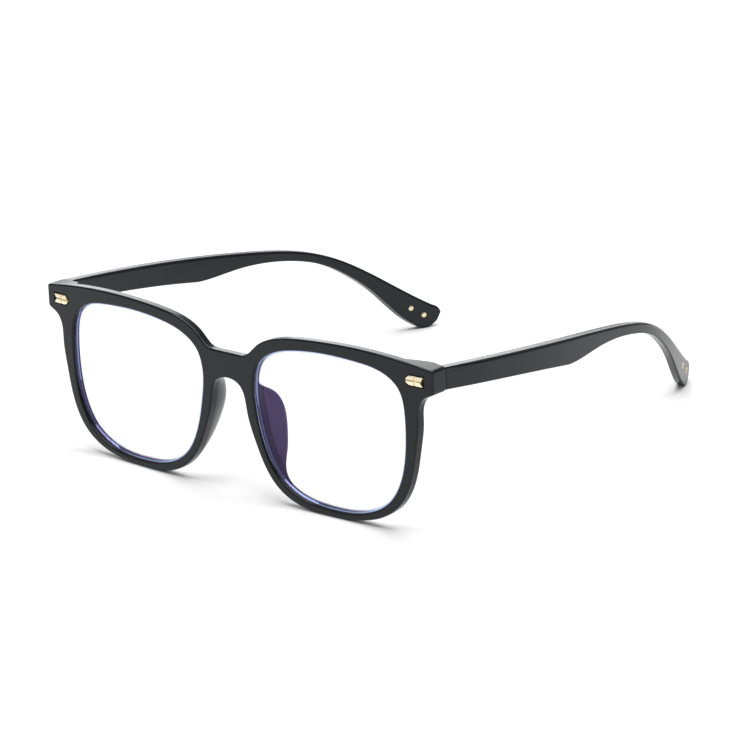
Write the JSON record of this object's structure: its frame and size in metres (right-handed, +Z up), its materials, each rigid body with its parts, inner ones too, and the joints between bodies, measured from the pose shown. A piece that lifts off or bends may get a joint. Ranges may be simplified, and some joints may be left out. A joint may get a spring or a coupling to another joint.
{
  "type": "blue light glasses",
  "caption": "Full-rim square plastic spectacles with clear coated lenses, moulded nose pads and two folding temples with bent, pinned tips.",
  "frame": {"origin": "middle of the bottom face of the bounding box, on the surface that the open glasses stand on", "axes": "+X to the wearer's left, +Y from the front face back along the temples, +Z up"},
  "size_m": [0.148, 0.1466, 0.0502],
  "materials": {
    "frame_plastic": "black injection-moulded plastic, soft gloss",
    "lens": "clear resin with a blue-violet reflecting coating",
    "gold_trim": "polished pale gold plating",
    "hinge_metal": "satin nickel silver",
    "screw_metal": "polished steel",
    "core_metal": "drawn nickel silver wire"
  },
  "bodies": {
    "front": {"front_frame": "frame_plastic", "left_lens": "lens", "right_lens": "lens", "left_front_hinge": "hinge_metal", "left_hinge_screw": "screw_metal", "left_endpiece_ornament": "gold_trim", "right_front_hinge": "hinge_metal", "right_hinge_screw": "screw_metal", "right_endpiece_ornament": "gold_trim"},
    "left_temple": {"left_temple": "frame_plastic", "left_temple_hinge": "hinge_metal", "left_temple_core": "core_metal", "left_tip_rivet_front": "gold_trim", "left_tip_rivet_rear": "gold_trim"},
    "right_temple": {"right_temple": "frame_plastic", "right_temple_hinge": "hinge_metal", "right_temple_core": "core_metal", "right_tip_rivet_front": "gold_trim", "right_tip_rivet_rear": "gold_trim"}
  },
  "joints": [
    {"name": "left_temple_fold", "type": "hinge", "parent": "front", "child": "left_temple", "pos_m": [0.0681, -0.06385, 0.0446], "axis": [0, 0.0698, 0.9976], "range_deg": [0, 82]},
    {"name": "right_temple_fold", "type": "hinge", "parent": "front", "child": "right_temple", "pos_m": [-0.0681, -0.06385, 0.0446], "axis": [0, -0.0698, -0.9976], "range_deg": [0, 75]}
  ]
}
